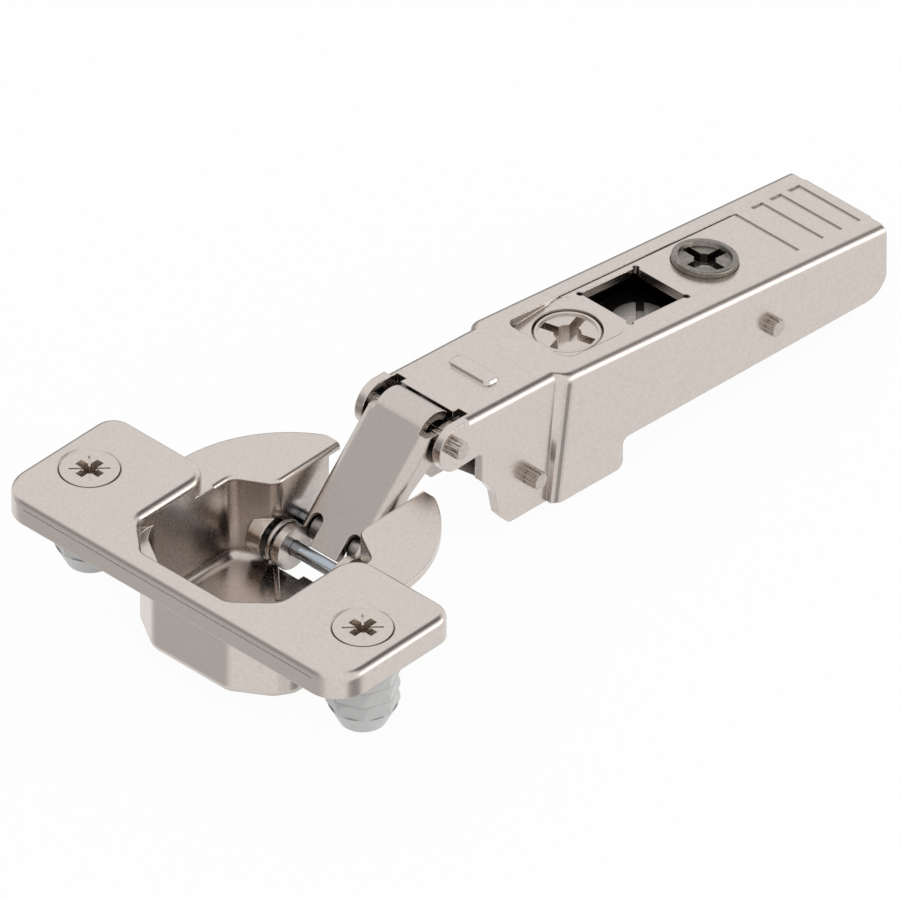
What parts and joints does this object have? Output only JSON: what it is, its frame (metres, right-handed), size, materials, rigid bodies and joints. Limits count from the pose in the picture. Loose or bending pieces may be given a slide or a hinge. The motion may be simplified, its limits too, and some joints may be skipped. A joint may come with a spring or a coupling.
{
  "type": "concealed cup hinge",
  "caption": "Concealed cup hinge: a pressed cup with screw-fixed ears, two links, and a long channel arm with adjusting screws that clips on a mounting plate.",
  "frame": {"origin": "axis of the cup, on the face of the door that the ears rest on", "axes": "+Z out of the door, +X from the cup towards the arm, Y along the hinge pins"},
  "size_m": [0.1164, 0.0566, 0.021],
  "materials": {
    "cup_steel": "satin nickel plate",
    "arm_steel": "satin nickel plate",
    "link_steel": "satin nickel plate",
    "rail_steel": "satin zinc plate",
    "screw_steel": "bright nickel plate",
    "pin_steel": "polished",
    "rivet_steel": "satin",
    "spring_steel": "drawn wire",
    "cam_zinc": "dull die-cast zinc",
    "dowel_nylon": "natural grey nylon"
  },
  "bodies": {
    "cup": {"cup": "cup_steel", "dowel_left": "dowel_nylon", "dowel_right": "dowel_nylon", "fixing_screw_left": "screw_steel", "fixing_screw_right": "screw_steel", "cup_pin_front": "pin_steel", "cup_pin_rear": "pin_steel", "closing_spring": "spring_steel"},
    "outer_link": {"outer_link": "link_steel"},
    "inner_link": {"inner_link": "link_steel"},
    "arm": {"hinge_arm": "arm_steel", "front_rivet": "rivet_steel", "lower_rivet": "rivet_steel", "rear_rivet": "rivet_steel"},
    "rail": {"inner_rail": "rail_steel", "rail_stud": "rivet_steel", "lever_pin": "pin_steel", "latch_spring": "spring_steel"},
    "depth_cam": {"depth_cam": "cam_zinc"},
    "side_screw": {"side_screw": "screw_steel"},
    "clip_lever": {"clip_lever": "rail_steel"}
  },
  "joints": [
    {"name": "outer_link_pivot", "type": "hinge", "parent": "cup", "child": "outer_link", "pos_m": [0.0065, 0, -0.0076], "axis": [0, -1, 0], "range_deg": [0, 107.6]},
    {"name": "arm_pivot", "type": "hinge", "parent": "outer_link", "child": "arm", "pos_m": [0.0221, 0, 0.005], "axis": [0, -1, 0], "range_deg": [-13, 0]},
    {"name": "inner_link_pivot", "type": "hinge", "parent": "cup", "child": "inner_link", "pos_m": [0.0105, 0, -0.0065], "axis": [0, -1, 0], "range_deg": [0, 114.2]},
    {"name": "depth_cam_turn", "type": "hinge", "parent": "arm", "child": "depth_cam", "pos_m": [0.0734, 0, 0.00081], "axis": [0.1409, 0, 0.99], "range_deg": [-90, 90]},
    {"name": "rail_slide", "type": "slide", "parent": "arm", "child": "rail", "axis": [0.9966, 0, -0.0819], "range_m": [-0.0019, 0.0019]},
    {"name": "side_screw_turn", "type": "hinge", "parent": "arm", "child": "side_screw", "pos_m": [0.0495, 0, 0.0035], "axis": [0, 0, 1], "range_deg": [-360, 360]},
    {"name": "clip_lever_pivot", "type": "hinge", "parent": "rail", "child": "clip_lever", "pos_m": [0.089, 0, -0.0083], "axis": [0, -1, 0], "range_deg": [0, 18], "stiffness_Nm_per_rad": 0.05, "springref_deg": -22.92, "deforming": ["latch_spring"]}
  ],
  "couplings": [
    {"joint": "arm_pivot", "follows": "outer_link_pivot", "ratio": -0.12},
    {"joint": "inner_link_pivot", "follows": "outer_link_pivot", "ratio": 1.06},
    {"joint": "depth_cam_turn", "follows": "rail_slide", "rad_per_m": -404.86}
  ]
}
